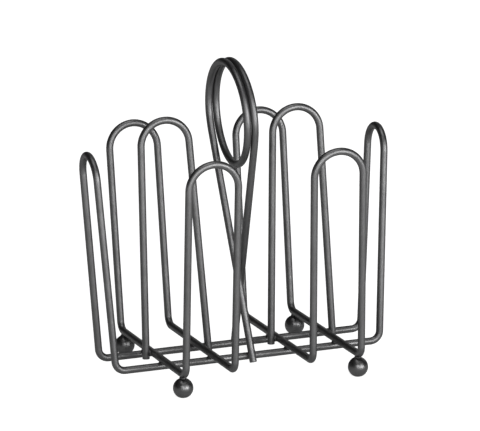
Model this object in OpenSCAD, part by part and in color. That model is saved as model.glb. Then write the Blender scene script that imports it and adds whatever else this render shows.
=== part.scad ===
// Wire rack for jelly packets. Hoops bent from round wire stand on two rails and
// four cross runs, with four ball feet under the corners and a ring handle in the middle.
// The rack stands on z = 0. Its front is towards -Y, and x = 0, y = 0 is its middle.
// Every wire is given by its corners, as if its bends were sharp, and by its bend radii.

/* [Wire] */
// Diameter of the wire that every hoop, run, rail and the handle is bent from
wire_d = 4; // [3:0.1:5]
// Radius of the bends where the base turns up into the hoops, to the wire's centre
bend_r = 5.5; // [4:0.1:8]

/* [Base] */
// Length of the base, between the corners where the end hoops turn up
base_l = 151.5; // [140:0.5:200]
// Depth of the base, between the corners where the front and back hoops turn up
base_w = 110; // [90:1:150]
// Distance between the two long rails, and so the width of the end hoops at their foot
rail_gap = 29; // [24:0.5:36]

/* [Front and back hoops] */
// Distance from the middle of the rack to the middle of each cross frame
frame_x = 36; // [32:0.5:44]
// Width of the front and back hoops, wire centre to wire centre
hoop_w = 27.6; // [22:0.2:32]
// Height of the two front hoops above the cross runs, wire centre to wire centre
front_hoop_h = 116; // [80:1:150]
// Height of the two back hoops above the cross runs, wire centre to wire centre
back_hoop_h = 113; // [80:1:150]
// Angle that the front and back hoops lean outward
hoop_lean = 5.3; // [0:0.1:10]
// Angle that the left frame's front hoop leans to the right
left_front_side_lean = 1; // [0:0.1:2]
// Angle that the right frame's back hoop leans to the right
right_back_side_lean = 0.8; // [0:0.1:2]

/* [End hoops] */
// Height of the end hoops above the rails, wire centre to wire centre
end_hoop_h = 116.5; // [80:0.5:150]
// Angle that the end hoops lean outward
end_lean = 3.3; // [0:0.1:8]
// Angle that each leg of an end hoop leans towards the other leg
end_taper = 1.2; // [0:0.1:2.5]

/* [Divider hoops] */
// Height of the divider hoops above the cross runs, wire centre to wire centre
divider_h = 127.5; // [80:0.5:160]
// Angle that each leg of a divider hoop leans towards the other leg
divider_taper = 2.1; // [0:0.1:3]
// Angle that the left divider hoop leans to the left
left_divider_lean = 1.5; // [0:0.1:3]
// Length of leg that reaches below the centre of the cross run it is welded to
divider_tail = 3; // [2.5:0.1:6]

/* [Ring handle] */
// Diameter of the ring, wire centre to wire centre
ring_d = 56; // [44:1:66]
// Height of the ring's centre above the cross runs
ring_h = 128; // [112:1:150]
// Clear gap between the two turns of the ring
ring_gap = 0.65; // [0.65:0.05:2]
// Sideways distance between the two leg ends, wire centre to wire centre
leg_end_gap = 2.8; // [1:0.1:6]
// Length of leg that reaches below the centre of the rail it is welded to
leg_tail = 2.5; // [2.5:0.1:6]
// Distance from the middle of the rack to the foot of the handle, to the right
handle_x = 2; // [0:0.1:4]
// Angle that the handle leans to the left
handle_lean = 1.2; // [0:0.1:3]

/* [Feet] */
// Diameter of the ball feet
foot_d = 11; // [8:0.5:16]
// Diameter of the flat that each ball rests on
foot_flat_d = 4; // [2:0.5:6]
// Distance from the end of the cross run's straight to the middle of the foot
foot_inset = 0.4; // [0:0.1:10]

/* [Hidden] */
$fn = 48;
// A joint ball closes each seam between a straight and a bend, a hair wider than the wire
joint_share = 1.005;
joint_d = wire_d * joint_share;
joint_cut_share = 0.02;
joint_cut = wire_d * joint_cut_share;
// Each joint ball is turned about its wire, so that its seam stays clear of the wire's
joint_turn = 100;
// Shortest straight that is drawn between two bends
least_straight = 4 * joint_cut;

// Heights of the wires' centres above the table
foot_z = sqrt(pow(foot_d / 2, 2) - pow(foot_flat_d / 2, 2));
run_z = foot_z + foot_d / 2 + wire_d / 2;
rail_z = run_z - wire_d;

// A bend at corner b of a wire that comes from a and goes on to c
function unit(v) = v / norm(v);
function turn_at(a, b, c) = atan2(norm(cross(b - a, c - b)), (b - a) * (c - b));
function bend_reach(a, b, c, r) = r > 0 ? r * tan(turn_at(a, b, c) / 2) : 0;
function bend_for(a, b, c, reach) = reach / tan(turn_at(a, b, c) / 2);
// Radius of a hoop's top whose two bends meet in the middle, between legs a-b and c-d
function top_radius(a, b, c, d) =
    norm(c - b) / (tan(turn_at(a, b, c) / 2) + tan(turn_at(b, c, d) / 2));

// Corner i of a wire, counted on past its end where the wire closes on itself
function corner(wire, i) = wire[(i + len(wire)) % len(wire)][0];
function reach_at(wire, i) =
    bend_reach(corner(wire, i - 1), corner(wire, i), corner(wire, i + 1), wire[i % len(wire)][1]);
function straight_start(wire, i) =
    corner(wire, i) + reach_at(wire, i) * unit(corner(wire, i + 1) - corner(wire, i));
function straight_end(wire, i) =
    corner(wire, i + 1) - reach_at(wire, i + 1) * unit(corner(wire, i + 1) - corner(wire, i));

// Sets a child that stands on the origin at a point, its z axis along the wire
module set_along(at, along) {
    translate(at)
        rotate([0, atan2(norm([along.x, along.y]), along.z), atan2(along.y, along.x)])
            children();
}

// A straight, cut short at an end where a joint ball joins it to a bend
module straight(from, to, from_cut, to_cut) {
    set_along(from + from_cut * unit(to - from), to - from)
        cylinder(h = norm(to - from) - from_cut - to_cut, d = wire_d);
}

// A round bend at corner b, cut short at both ends in the same way
module bend(a, b, c, r) {
    turn = turn_at(a, b, c);
    ahead = unit(b - a);
    inward = unit(unit(c - b) - cos(turn) * ahead);
    side = cross(ahead, inward);
    middle = b - bend_reach(a, b, c, r) * ahead + r * inward;
    cut_angle = asin(joint_cut / r);
    multmatrix([
        [-inward.x, ahead.x, side.x, middle.x],
        [-inward.y, ahead.y, side.y, middle.y],
        [-inward.z, ahead.z, side.z, middle.z],
        [0, 0, 0, 1]
    ])
        rotate([0, 0, cut_angle])
            rotate_extrude(angle = turn - 2 * cut_angle)
                translate([r, 0])
                    circle(d = wire_d);
}

module joint_ball(at, along) {
    set_along(at, along)
        rotate([0, 0, joint_turn])
            sphere(d = joint_d);
}

// One piece of wire: a list of [corner, bend radius], where a radius of 0 is a cut end
module bent_wire(wire, closed = false) {
    last = len(wire) - (closed ? 1 : 2);
    for (i = [0 : last]) {
        from = straight_start(wire, i);
        to = straight_end(wire, i);
        along = corner(wire, i + 1) - corner(wire, i);
        from_bend = wire[i][1] > 0;
        to_bend = wire[(i + 1) % len(wire)][1] > 0;
        if (norm(to - from) > least_straight) {
            straight(from, to, from_bend ? joint_cut : 0, to_bend ? joint_cut : 0);
            if (to_bend)
                joint_ball(to, along);
        }
        if (from_bend)
            joint_ball(from, along);
    }
    for (i = [0 : len(wire) - 1])
        if (wire[i][1] > 0)
            bend(corner(wire, i - 1), corner(wire, i), corner(wire, i + 1), wire[i][1]);
}

// Base loop: two long rails whose ends turn up into the end hoops
end_top_x = base_l / 2 + end_hoop_h * tan(end_lean);
end_top_y = rail_gap / 2 - end_hoop_h * tan(end_taper);
function end_foot(x_side, y_side) = [x_side * base_l / 2, y_side * rail_gap / 2, rail_z];
function end_top(x_side, y_side) = [x_side * end_top_x, y_side * end_top_y, rail_z + end_hoop_h];
end_top_r = top_radius(end_foot(1, -1), end_top(1, -1), end_top(1, 1), end_foot(1, 1));
base_wire = [
    for (s = [-1, 1])
        each [
            [end_foot(s, s), bend_r],
            [end_top(s, s), end_top_r],
            [end_top(s, -s), end_top_r],
            [end_foot(s, -s), bend_r]
        ]
];

// Cross frame: a front hoop and a back hoop joined by two runs across the rails
function hoop_corners(x, side, y_side, hoop_h, side_lean) = let (
    foot_y = y_side * base_w / 2,
    top_y = foot_y + y_side * hoop_h * tan(hoop_lean),
    near_x = x - side * hoop_w / 2,
    far_x = x + side * hoop_w / 2,
    top_shift = hoop_h * tan(side_lean),
    near_foot = [near_x, foot_y, run_z],
    near_top = [near_x + top_shift, top_y, run_z + hoop_h],
    far_top = [far_x + top_shift, top_y, run_z + hoop_h],
    far_foot = [far_x, foot_y, run_z],
    top_r = top_radius(near_foot, near_top, far_top, far_foot)
) [[near_foot, bend_r], [near_top, top_r], [far_top, top_r], [far_foot, bend_r]];
function frame_wire(x, front_lean, back_lean) = concat(
    hoop_corners(x, 1, -1, front_hoop_h, front_lean),
    hoop_corners(x, -1, 1, back_hoop_h, back_lean)
);
left_frame = frame_wire(-frame_x, left_front_side_lean, 0);
right_frame = frame_wire(frame_x, 0, right_back_side_lean);

// Divider hoop: stands across the middle, its legs outside the two runs of a cross frame
function divider_point(x, lean, side, height) = let (
    tilt = divider_taper + side * lean
) [x + side * (hoop_w / 2 + wire_d / cos(tilt) - height * tan(tilt)), 0, run_z + height];
function divider_wire(x, lean) = let (
    left_foot = divider_point(x, lean, -1, -divider_tail),
    left_top = divider_point(x, lean, -1, divider_h),
    right_top = divider_point(x, lean, 1, divider_h),
    right_foot = divider_point(x, lean, 1, -divider_tail),
    top_r = top_radius(left_foot, left_top, right_top, right_foot)
) [[left_foot, 0], [left_top, top_r], [right_top, top_r], [right_foot, 0]];

// Ring handle: the first leg climbs from the front rail to the back of the ring, the wire
// goes round it and a half times, and the second leg comes down to the back rail.
// Here x is across the ring's two turns and z is up from the rails.
ring_r = ring_d / 2;
ring_z = ring_h + wire_d;
ring_pitch = wire_d + ring_gap;
quarter_shift = ring_pitch / 4;
leg_tilt = atan(rail_gap / 2 / ring_z) + asin((ring_r + wire_d) / norm([rail_gap / 2, ring_z]));
leg_y = -rail_gap / 2 - wire_d / cos(leg_tilt);
function leg_point(x, z) = [x, leg_y + z * tan(leg_tilt), z];
knee_z = ring_z - ring_r * sin(leg_tilt) - wire_d;
// Corners of the first half of the wire, counted in quarter turns from its middle
knee_share = 3.5;
top_back_share = 2.5;
top_front_share = 1.5;
bottom_front_share = 0.5;
leg_end = leg_point(-leg_end_gap / 2, -leg_tail);
knee = leg_point(-knee_share * quarter_shift, knee_z);
top_back = leg_point(-top_back_share * quarter_shift, ring_z + ring_r);
top_front = [-top_front_share * quarter_shift, -ring_r, ring_z + ring_r];
bottom_front = [-bottom_front_share * quarter_shift, -ring_r, ring_z - ring_r];
side_reach = norm(bottom_front - top_front) / 2;
turn_r = bend_for(top_back, top_front, bottom_front, side_reach);
top_back_reach = norm(top_front - top_back) - side_reach;
top_back_r = bend_for(knee, top_back, top_front, top_back_reach);
half_handle = [
    [leg_end, 0], [knee, ring_r], [top_back, top_back_r], [top_front, turn_r], [bottom_front, turn_r]
];
function half_turned(p) = [-p.x, -p.y, p.z];
function leaned(p) = [
    handle_x + p.x * cos(handle_lean) - p.z * sin(handle_lean),
    p.y,
    rail_z + p.x * sin(handle_lean) + p.z * cos(handle_lean)
];
handle_wire = concat(
    [for (c = half_handle) [leaned(c[0]), c[1]]],
    [for (i = [len(half_handle) - 1 : -1 : 0]) [leaned(half_turned(half_handle[i][0])), half_handle[i][1]]]
);

// Least gap between one stretch of the handle's wire and another, measured on its centre line
steps = 24;
function bend_points(a, b, c, r) = let (
    turn = turn_at(a, b, c),
    ahead = unit(b - a),
    inward = unit(unit(c - b) - cos(turn) * ahead),
    start = b - bend_reach(a, b, c, r) * ahead
) [for (k = [0 : steps]) let (t = turn * k / steps) start + r * (sin(t) * ahead + (1 - cos(t)) * inward)];
function wire_points(wire) = [
    for (i = [0 : len(wire) - 1])
        each wire[i][1] > 0
            ? bend_points(corner(wire, i - 1), corner(wire, i), corner(wire, i + 1), wire[i][1])
            : [wire[i][0]]
];
function along_lengths(p) =
    [for (i = 0, s = 0; i < len(p); i = i + 1, s = i < len(p) ? s + norm(p[i] - p[i - 1]) : s) s];
function gap_to(p, a, b) = let (
    ab = b - a,
    share = max(0, min(1, (p - a) * ab / (ab * ab)))
) norm(p - a - share * ab);
handle_points = wire_points(handle_wire);
handle_lengths = along_lengths(handle_points);
least_handle_gap = min([
    for (i = [0 : len(handle_points) - 1])
        for (j = [0 : len(handle_points) - 2])
            if (min(abs(handle_lengths[i] - handle_lengths[j]),
                    abs(handle_lengths[i] - handle_lengths[j + 1])) > ring_d)
                gap_to(handle_points[i], handle_points[j], handle_points[j + 1])
]) - wire_d;
echo(least_handle_gap = least_handle_gap);

// Ball foot: welded under an outer cross run, where the run's straight ends
outer_run_x = frame_x + hoop_w / 2;
foot_y = base_w / 2 - reach_at(right_frame, 0) - foot_inset;

module ball_foot(x_side, y_side) {
    color("dimgray")
        translate([x_side * outer_run_x, y_side * foot_y, 0])
            intersection() {
                translate([0, 0, foot_z])
                    sphere(d = foot_d);
                cylinder(h = 2 * foot_d, d = 2 * foot_d);
            }
}

module base_loop() {
    color("dimgray") bent_wire(base_wire, closed = true);
}

module left_cross_frame() {
    color("dimgray") bent_wire(left_frame, closed = true);
}

module right_cross_frame() {
    color("dimgray") bent_wire(right_frame, closed = true);
}

module left_divider_hoop() {
    color("dimgray") bent_wire(divider_wire(-frame_x, left_divider_lean));
}

module right_divider_hoop() {
    color("dimgray") bent_wire(divider_wire(frame_x, 0));
}

module ring_handle() {
    color("dimgray") bent_wire(handle_wire);
}

module front_left_foot() {
    ball_foot(-1, -1);
}

module front_right_foot() {
    ball_foot(1, -1);
}

module back_left_foot() {
    ball_foot(-1, 1);
}

module back_right_foot() {
    ball_foot(1, 1);
}

base_loop();
left_cross_frame();
right_cross_frame();
left_divider_hoop();
right_divider_hoop();
ring_handle();
front_left_foot();
front_right_foot();
back_left_foot();
back_right_foot();
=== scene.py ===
"""Jelly packet rack: metal grey coating, close-wound ring handle, weld beads, floor, lamps and camera."""
import math

import bmesh
import bpy
from mathutils import Matrix, Vector, noise


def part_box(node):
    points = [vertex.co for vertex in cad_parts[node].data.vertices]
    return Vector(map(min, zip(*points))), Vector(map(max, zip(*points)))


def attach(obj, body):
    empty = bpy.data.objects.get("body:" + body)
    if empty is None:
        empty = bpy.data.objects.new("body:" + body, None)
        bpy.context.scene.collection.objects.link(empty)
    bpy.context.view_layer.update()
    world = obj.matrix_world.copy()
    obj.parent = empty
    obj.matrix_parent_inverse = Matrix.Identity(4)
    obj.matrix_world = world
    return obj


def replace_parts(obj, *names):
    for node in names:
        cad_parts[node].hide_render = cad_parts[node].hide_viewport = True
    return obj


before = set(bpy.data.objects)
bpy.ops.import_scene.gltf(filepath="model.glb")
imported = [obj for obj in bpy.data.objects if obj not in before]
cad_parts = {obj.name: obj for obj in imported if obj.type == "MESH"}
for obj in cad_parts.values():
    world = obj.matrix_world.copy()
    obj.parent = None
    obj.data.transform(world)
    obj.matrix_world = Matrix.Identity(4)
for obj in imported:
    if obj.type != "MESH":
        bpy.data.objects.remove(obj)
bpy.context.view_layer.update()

MM = 0.001
UP = Vector((0, 0, 1))

# Sizes that the added pieces share with the rack's solids
WIRE = 4 * MM
FOOT = 11 * MM
FOOT_FLAT = 4 * MM
RAIL_GAP = 29 * MM
FRAME_PLACE = 36 * MM
HOOP_WIDTH = 27.6 * MM
DIVIDER_TAPER = math.radians(2.1)
LEFT_DIVIDER_LEAN = math.radians(1.5)
RING_RADIUS = 28 * MM
RING_HEIGHT = 132 * MM
LEG_END_GAP = 2.8 * MM
LEG_TAIL = 2.5 * MM
HANDLE_PLACE = 2 * MM
HANDLE_LEAN = math.radians(1.2)

# Heights of the wires' centres: the feet stand on their flats, the runs on the feet, and the rails hang below
FOOT_HEIGHT = math.sqrt((FOOT / 2) ** 2 - (FOOT_FLAT / 2) ** 2)
RUN_HEIGHT = FOOT_HEIGHT + FOOT / 2 + WIRE / 2
RAIL_HEIGHT = RUN_HEIGHT - WIRE


# Shader maths

class Num:
    """A number in a shader: a node's output socket with arithmetic."""

    def __init__(self, shader, socket):
        self.shader, self.socket = shader, socket

    def maths(self, operation, *others):
        return self.shader.node("ShaderNodeMath", {"operation": operation}, [self, *others])

    def __add__(self, other): return self.maths("ADD", other)
    def __radd__(self, other): return self.maths("ADD", other)
    def __mul__(self, other): return self.maths("MULTIPLY", other)
    def __rmul__(self, other): return self.maths("MULTIPLY", other)
    def __sub__(self, other): return self.maths("SUBTRACT", other)
    def __rsub__(self, other): return (self * -1).maths("ADD", other)

    def between(self, low, high, to_low=0.0, to_high=1.0):
        """Stretches low..high to to_low..to_high, and keeps what is outside at the ends."""
        return self.shader.node("ShaderNodeMapRange", {"clamp": True}, [self, low, high, to_low, to_high])


class Shader:
    """Builds one material, node by node."""

    def __init__(self, name):
        self.material = bpy.data.materials.new(name)
        self.material.use_nodes = True
        self.tree = self.material.node_tree
        self.tree.nodes.clear()

    def node(self, kind, settings=None, inputs=None, output=0):
        made = self.tree.nodes.new(kind)
        for key, value in (settings or {}).items():
            setattr(made, key, value)
        items = enumerate(inputs) if isinstance(inputs, (list, tuple)) else (inputs or {}).items()
        for key, value in items:
            socket = made.inputs[key]
            if isinstance(value, Num):
                self.tree.links.new(value.socket, socket)
            else:
                socket.default_value = value
        return Num(self, made.outputs[output]) if made.outputs else None

    def place(self):
        """Where a point is on the object, in metres."""
        return self.node("ShaderNodeTexCoord", output="Object")

    def height(self, at):
        """How high a point is above the table, in metres."""
        return self.node("ShaderNodeSeparateXYZ", None, [at], "Z")

    def speckle(self, at, size, detail):
        """Soft noise from 0 to 1 whose spots are about size across."""
        return self.node("ShaderNodeTexNoise", {"noise_dimensions": "3D"},
                         {"Vector": at, "Scale": 1 / size, "Detail": detail})

    def finish(self, surface):
        self.node("ShaderNodeOutputMaterial", None, {"Surface": surface})
        return self.material


# Coatings

GREY = 0.172
BALL_GREY = GREY * 1.05
WELD_GREY = GREY * 0.9
BLUENESS = 1.01

ROUGHNESS = 0.42
BALL_ROUGHNESS = ROUGHNESS - 0.07
WELD_ROUGHNESS = ROUGHNESS + 0.08

CLOUD_SIZE = 9 * MM
FLAKE_SIZE = 0.35 * MM
PEEL_SIZE = 0.8 * MM
PEEL_DEPTH = 0.03 * MM
LUMP_SIZE = 1.6 * MM
LUMP_DEPTH = 0.12 * MM

# Where most of a noise's values lie, and how far the coat strays from its own tone and gloss
NOISE_RANGE = (0.3, 0.7)
FLAKE_TONE_RANGE = (0.25, 0.75)
TONE_SPREAD = 0.1
CLOUD_GLOSS_SPREAD = 0.03
FLAKE_GLOSS_SPREAD = 0.02

# How far up the table has rubbed the balls, in which parts of the clouds, and what that does to the coat
RUBBED_HEIGHT = 0.9 * MM
RUBBED_RANGE = (0.4, 0.6)
RUBBED_BRIGHTER = 0.5
RUBBED_SMOOTHER = 0.1


def metal_grey(name, grey=GREY, roughness=ROUGHNESS, lumps=0.0, rubbed_height=0.0):
    """Satin metal grey coat over steel: cloudy flake, uneven gloss and orange peel.

    lumps is how deep a weld's bumps are, and rubbed_height how high up a ball the table has rubbed it."""
    s = Shader(name)
    at = s.place()
    cloud = s.speckle(at, CLOUD_SIZE, 3)
    flake = s.speckle(at, FLAKE_SIZE, 1)
    peel = s.speckle(at, PEEL_SIZE, 2)
    cloud_tone = cloud.between(*NOISE_RANGE, 1 - TONE_SPREAD, 1 + TONE_SPREAD)
    flake_tone = flake.between(*FLAKE_TONE_RANGE, 1 - TONE_SPREAD, 1 + TONE_SPREAD)
    tone = cloud_tone * flake_tone
    cloud_gloss = cloud.between(*NOISE_RANGE, roughness + CLOUD_GLOSS_SPREAD, roughness - CLOUD_GLOSS_SPREAD)
    gloss = cloud_gloss + flake.between(*NOISE_RANGE, -FLAKE_GLOSS_SPREAD, FLAKE_GLOSS_SPREAD)
    if rubbed_height:
        rubbed = s.height(at).between(0, rubbed_height, 1, 0) * cloud.between(*RUBBED_RANGE)
        tone = tone * (rubbed * RUBBED_BRIGHTER + 1)
        gloss = gloss - rubbed * RUBBED_SMOOTHER
    relief = peel * PEEL_DEPTH
    if lumps:
        relief = relief + s.speckle(at, LUMP_SIZE, 2) * lumps
    shade = s.node("ShaderNodeCombineColor", None, [tone * grey, tone * grey, tone * (grey * BLUENESS)])
    bump = s.node("ShaderNodeBump", None, {"Strength": 1.0, "Distance": 1.0, "Height": relief})
    return s.finish(s.node("ShaderNodeBsdfPrincipled", None, {
        "Base Color": shade, "Roughness": gloss, "Metallic": 1.0, "Normal": bump}))


wire_coating = metal_grey("metal_grey_wire")
ball_coating = metal_grey("metal_grey_balls", BALL_GREY, BALL_ROUGHNESS, rubbed_height=RUBBED_HEIGHT)
weld_coating = metal_grey("metal_grey_welds", WELD_GREY, WELD_ROUGHNESS, lumps=LUMP_DEPTH)

for name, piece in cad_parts.items():
    piece.data.materials.clear()
    piece.data.materials.append(ball_coating if name.endswith("_foot") else wire_coating)


# New pieces

SAME_POINT = 0.001 * MM
WIRE_SIDES = 32
BEND_STEP = math.radians(4)
LEAST_BEND_STEPS = 3
LEAST_STRAIGHT = 0.01 * MM
CUT_EDGE = 0.22 * MM


def new_object(name, data):
    """Adds an object with this mesh, lamp or camera to the scene."""
    made = bpy.data.objects.new(name, data)
    bpy.context.scene.collection.objects.link(made)
    return made


def smooth_object(name, bm, material):
    """Turns a bmesh into an object with smooth faces."""
    for face in bm.faces:
        face.smooth = True
    mesh = bpy.data.meshes.new(name)
    bm.to_mesh(mesh)
    bm.free()
    mesh.materials.append(material)
    return new_object(name, mesh)


def finished_piece(name, bm, material):
    """Turns a bmesh into a piece that rides with the rack."""
    bmesh.ops.remove_doubles(bm, verts=bm.verts, dist=SAME_POINT)
    bmesh.ops.recalc_face_normals(bm, faces=bm.faces)
    piece = smooth_object(name, bm, material)
    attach(piece, "root")
    return piece


def new_verts(made):
    """The points among what a bmesh operator made."""
    return [part for part in made if isinstance(part, bmesh.types.BMVert)]


def bent_wire(bm, corners, diameter):
    """Draws a round wire with square-cut ends along its corners, each with the radius that it is bent to."""
    points = [Vector(place) for place, radius in corners]
    ahead = (points[1] - points[0]).normalized()
    start = Matrix.Translation(points[0]) @ ahead.to_track_quat("Z", "Y").to_matrix().to_4x4()
    circle = bmesh.ops.create_circle(
        bm, cap_ends=False, radius=diameter / 2, segments=WIRE_SIDES, matrix=start)
    rim = circle["verts"]
    first_rim, reached = rim, points[0]

    def rim_edges(verts):
        inside = set(verts)
        return [e for e in bm.edges if e.verts[0] in inside and e.verts[1] in inside]

    def draw_straight(rim, way):
        rim = new_verts(bmesh.ops.extrude_edge_only(bm, edges=rim_edges(rim))["geom"])
        bmesh.ops.translate(bm, verts=rim, vec=way)
        return rim

    for i in range(1, len(corners) - 1):
        onward = (points[i + 1] - points[i]).normalized()
        turn, axis, radius = ahead.angle(onward), ahead.cross(onward).normalized(), corners[i][1]
        reach = radius * math.tan(turn / 2)
        bend_start = points[i] - ahead * reach
        if (bend_start - reached).length > LEAST_STRAIGHT:
            rim = draw_straight(rim, bend_start - reached)
        spun = bmesh.ops.spin(
            bm, geom=rim + rim_edges(rim), cent=bend_start + axis.cross(ahead) * radius, axis=axis,
            angle=turn, steps=max(LEAST_BEND_STEPS, round(turn / BEND_STEP)),
            use_merge=False, use_duplicate=False)
        rim = new_verts(spun["geom_last"])
        reached, ahead = points[i] + onward * reach, onward
    rim = draw_straight(rim, points[-1] - reached)
    for end in (first_rim, rim):
        bmesh.ops.contextual_create(bm, geom=rim_edges(end))
        bmesh.ops.bevel(
            bm, geom=rim_edges(end), offset=CUT_EDGE, affect="EDGES", segments=2, profile=0.5, material=-1)


# Ring handle: the solid's wire, with the two turns of its ring wound close together

TURN_GAP = 0.03 * MM


def handle_corners():
    """From the front rail up one leg, round the ring one and a half times, and down to the back rail."""
    quarter = (WIRE + TURN_GAP) / 4
    tilt = (math.atan(RAIL_GAP / 2 / RING_HEIGHT)
            + math.asin((RING_RADIUS + WIRE) / math.hypot(RAIL_GAP / 2, RING_HEIGHT)))
    leg_y = -RAIL_GAP / 2 - WIRE / math.cos(tilt)

    def leg(x, z):
        return Vector((x, leg_y + z * math.tan(tilt), z))

    def bend_for(a, b, c, reach):
        return reach / math.tan((b - a).angle(c - b) / 2)

    # The wire moves sideways evenly along its corners, half a quarter for each ring radius that it goes
    top = RING_HEIGHT + RING_RADIUS
    top_length = leg(0, top).y + RING_RADIUS
    knee = leg(-3.5 * quarter, RING_HEIGHT - RING_RADIUS * math.sin(tilt) - WIRE)
    top_back = leg(-(1.5 + top_length / RING_RADIUS / 2) * quarter, top)
    top_front = Vector((-1.5 * quarter, -RING_RADIUS, top))
    bottom_front = Vector((-0.5 * quarter, -RING_RADIUS, RING_HEIGHT - RING_RADIUS))
    side = (bottom_front - top_front).length / 2
    turn_radius = bend_for(top_back, top_front, bottom_front, side)
    back_radius = bend_for(knee, top_back, top_front, (top_front - top_back).length - side)
    half = [(leg(-LEG_END_GAP / 2, -LEG_TAIL), 0), (knee, RING_RADIUS), (top_back, back_radius),
            (top_front, turn_radius), (bottom_front, turn_radius)]
    other_half = [(Vector((-p.x, -p.y, p.z)), radius) for p, radius in reversed(half)]
    stand = Matrix.Translation((HANDLE_PLACE, 0, RAIL_HEIGHT)) @ Matrix.Rotation(-HANDLE_LEAN, 4, "Y")
    return [(stand @ p, radius) for p, radius in half + other_half]


bm = bmesh.new()
bent_wire(bm, handle_corners(), WIRE)
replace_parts(finished_piece("close_wound_ring_handle", bm, wire_coating), "ring_handle")


# Weld beads: metal squeezed out where two wires, or a wire and a ball, were pressed together

# Each weld's width and height
RAIL_WELD = (3.5 * MM, 1.7 * MM)
LEG_WELD = (3.6 * MM, 1.7 * MM)
FOOT_WELD = (4 * MM, 1.9 * MM)

# How uneven a bead is, as a share of its size, and how its lumps are spread and differ from the next bead's
BEAD_UNEVENNESS = 0.22
BEAD_LUMPS = 1.7
BEAD_SHIFT = 3.1


def weld_bead(bm, place, facing, width, height, seed):
    """A flattened drop with an uneven rim, lying across the way that it faces."""
    drop = bmesh.ops.create_icosphere(bm, subdivisions=4, radius=1)["verts"]
    for v in drop:
        v.co *= 1 + BEAD_UNEVENNESS * noise.noise(v.co * BEAD_LUMPS + Vector((seed * BEAD_SHIFT, 0, 0)))
    bmesh.ops.smooth_vert(bm, verts=drop, factor=0.5, use_axis_x=True, use_axis_y=True, use_axis_z=True)
    bmesh.ops.scale(bm, verts=drop, vec=(width / 2, width / 2, height / 2))
    turned = facing.to_track_quat("Z", "Y").to_matrix().to_4x4()
    bmesh.ops.transform(bm, verts=drop, matrix=Matrix.Translation(place) @ turned)


def weld_piece(name, spots, weld):
    """One piece for the welds of a kind. A spot is a place and the way from one welded part to the other."""
    width, height = weld
    bm = bmesh.new()
    for seed, (place, facing) in enumerate(spots):
        weld_bead(bm, place, facing, width, height, seed + len(name))
    finished_piece(name, bm, weld_coating)


def run_place(frame_side, side):
    """How far to the right a cross run lies: the left or right run of the left or right cross frame."""
    return frame_side * FRAME_PLACE + side * HOOP_WIDTH / 2


rail_spots = []
for frame_side in (-1, 1):
    for run_side in (-1, 1):
        for rail_side in (-1, 1):
            crossing = (run_place(frame_side, run_side), rail_side * RAIL_GAP / 2, RUN_HEIGHT - WIRE / 2)
            rail_spots.append((Vector(crossing), UP))
weld_piece("rail_welds", rail_spots, RAIL_WELD)

divider_spots = []
for frame_side, lean in ((-1, LEFT_DIVIDER_LEAN), (1, 0)):
    for side in (-1, 1):
        tilt = DIVIDER_TAPER + side * lean
        outwards = Vector((side * math.cos(tilt), 0, math.sin(tilt)))
        run = Vector((run_place(frame_side, side), 0, RUN_HEIGHT))
        divider_spots.append((run + outwards * WIRE / 2, outwards))
weld_piece("divider_welds", divider_spots, LEG_WELD)

handle_spots = []
handle_places = [place for place, radius in handle_corners()]
for side, (foot, knee) in ((-1, handle_places[:2]), (1, handle_places[:-3:-1])):
    along = (knee - foot).normalized()
    rail = Vector((foot.x, side * RAIL_GAP / 2, RAIL_HEIGHT))
    outwards = (foot - rail) - along * (foot - rail).dot(along)
    handle_spots.append((rail + outwards / 2, outwards))
weld_piece("handle_welds", handle_spots, LEG_WELD)

foot_spots = []
for name in ("front_left_foot", "back_left_foot", "front_right_foot", "back_right_foot"):
    middle = sum(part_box(name), Vector()) / 2
    foot_spots.append((Vector((middle.x, middle.y, RUN_HEIGHT - WIRE / 2)), UP))
weld_piece("foot_welds", foot_spots, FOOT_WELD)


# Floor

FLOOR_RADIUS = 6
FLOOR_SIDES = 96
FLOOR_WHITE = 0.8
FLOOR_GLOW = 0.88
GLOW_IN_METAL = 0.07
SWEEP_HEIGHT = 0.6
SWEEP_BEND = 0.4
SWEEP_STEPS = 8


def pale_floor():
    """Matt white sheet. The camera sees plain white with the rack's soft shadow, and metal a pale ground."""
    s = Shader("pale_floor")
    camera_ray = s.node("ShaderNodeLightPath", output="Is Camera Ray")
    glossy_ray = s.node("ShaderNodeLightPath", output="Is Glossy Ray")
    through_ray = s.node("ShaderNodeLightPath", output="Is Transmission Ray")
    seen = (camera_ray + (glossy_ray + through_ray) * GLOW_IN_METAL).between(0, 1)
    lit = s.node("ShaderNodeBsdfDiffuse", None, {"Color": (FLOOR_WHITE, FLOOR_WHITE, FLOOR_WHITE, 1)})
    glow = s.node("ShaderNodeEmission", None, {"Color": (1, 1, 1, 1), "Strength": FLOOR_GLOW})
    both = s.node("ShaderNodeAddShader", None, [lit, glow])
    return s.finish(s.node("ShaderNodeMixShader", None, [seen, lit, both]))


bm = bmesh.new()
bmesh.ops.create_circle(bm, cap_ends=True, cap_tris=True, radius=FLOOR_RADIUS, segments=FLOOR_SIDES)
rim = [e for e in bm.edges if e.is_boundary]
raised = new_verts(bmesh.ops.extrude_edge_only(bm, edges=rim)["geom"])
bmesh.ops.translate(bm, verts=raised, vec=UP * SWEEP_HEIGHT)
bmesh.ops.bevel(
    bm, geom=rim, offset=SWEEP_BEND, affect="EDGES", segments=SWEEP_STEPS, profile=0.5, material=-1)
smooth_object("floor", bm, pale_floor())


# Lamps: soft panels before the rack, high and low, one above, a dim one behind, and two cards on the floor

PANEL_DISTANCE = 3.3
AIM_HEIGHT = 0.08
CARD_HEIGHT = 0.002
WORLD_STRENGTH = 0.025


def way_out(azimuth, elevation):
    """The way from the rack at an azimuth, 0 in front of it and 90 degrees on its right, and an elevation."""
    level = math.cos(elevation)
    return Vector((math.sin(azimuth) * level, -math.cos(azimuth) * level, math.sin(elevation)))


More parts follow.
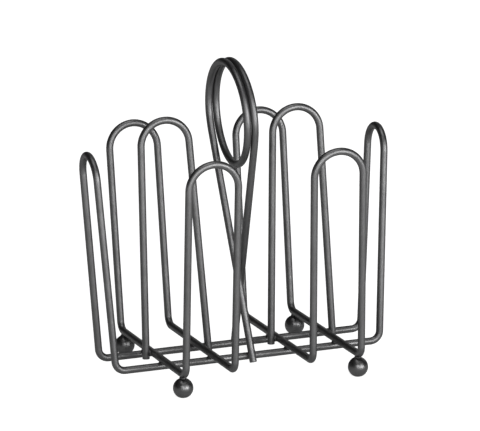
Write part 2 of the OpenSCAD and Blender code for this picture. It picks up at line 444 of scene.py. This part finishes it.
def soft_lamp(name, place, facing, width, height, strength):
    """A panel of even brightness, which the camera doesn't see."""
    data = bpy.data.lights.new(name, "AREA")
    data.shape = "RECTANGLE"
    data.size, data.size_y = width, height
    data.energy = strength * math.pi * width * height
    lamp = new_object(name, data)
    lamp.visible_camera = False
    lamp.location = place
    lamp.rotation_euler = (-facing).to_track_quat("Z", "Y").to_euler()


def hung_panel(name, azimuth, elevation, width, height, strength):
    """A panel that faces the rack. Its width and height are the angles that it fills, all in degrees."""
    way = way_out(math.radians(azimuth), math.radians(elevation))
    across, up = (2 * PANEL_DISTANCE * math.tan(math.radians(angle / 2)) for angle in (width, height))
    soft_lamp(name, Vector((0, 0, AIM_HEIGHT)) + way * PANEL_DISTANCE, -way, across, up, strength)


def floor_card(name, distance, width, depth, strength):
    """A card that lies on the floor and glows upwards, its middle this far in front of the rack's."""
    soft_lamp(name, Vector((0, -distance, CARD_HEIGHT)), UP, width, depth, strength)


hung_panel("key_panel", azimuth=-20, elevation=21, width=28, height=18, strength=3.6)
hung_panel("front_panel", azimuth=24, elevation=18, width=36, height=28, strength=2.0)
hung_panel("low_front_panel", azimuth=0, elevation=5, width=50, height=10, strength=4.0)
hung_panel("low_right_panel", azimuth=32, elevation=6, width=28, height=12, strength=8.0)
hung_panel("top_panel", azimuth=0, elevation=78, width=40, height=40, strength=1.5)
hung_panel("back_fill", azimuth=140, elevation=26, width=60, height=24, strength=0.4)
floor_card("floor_card", distance=0.675, width=2.5, depth=0.45, strength=3.4)
floor_card("near_floor_card", distance=0.118, width=1.0, depth=0.085, strength=0.24)

world = bpy.data.worlds.new("studio")
bpy.context.scene.world = world
world.use_nodes = True
background = world.node_tree.nodes["Background"]
background.inputs["Color"].default_value = (1, 1, 1, 1)
background.inputs["Strength"].default_value = WORLD_STRENGTH


# Camera: a long lens in front of the rack, to its left and a little above it

AZIMUTH, ELEVATION, ROLL = (math.radians(angle) for angle in (-19.168, 13.345, -1.7))
CAMERA_PLACE = Vector((-0.86202, -2.48657, 0.70777))
SENSOR_WIDTH = 36
LENS = 375
FARTHEST_SEEN = 30

camera_data = bpy.data.cameras.new("camera")
camera_data.sensor_fit = "HORIZONTAL"
camera_data.sensor_width = SENSOR_WIDTH
camera_data.lens = LENS
camera_data.clip_end = FARTHEST_SEEN
camera = new_object("camera", camera_data)
bpy.context.scene.camera = camera
back = way_out(AZIMUTH, ELEVATION)
right = Vector((math.cos(AZIMUTH), math.sin(AZIMUTH), 0))
up = back.cross(right)
rolled_right = right * math.cos(ROLL) + up * math.sin(ROLL)
rolled_up = up * math.cos(ROLL) - right * math.sin(ROLL)
turned = Matrix((rolled_right, rolled_up, back)).transposed().to_4x4()
camera.matrix_world = Matrix.Translation(CAMERA_PLACE) @ turned

bpy.context.scene.view_settings.view_transform = "Standard"
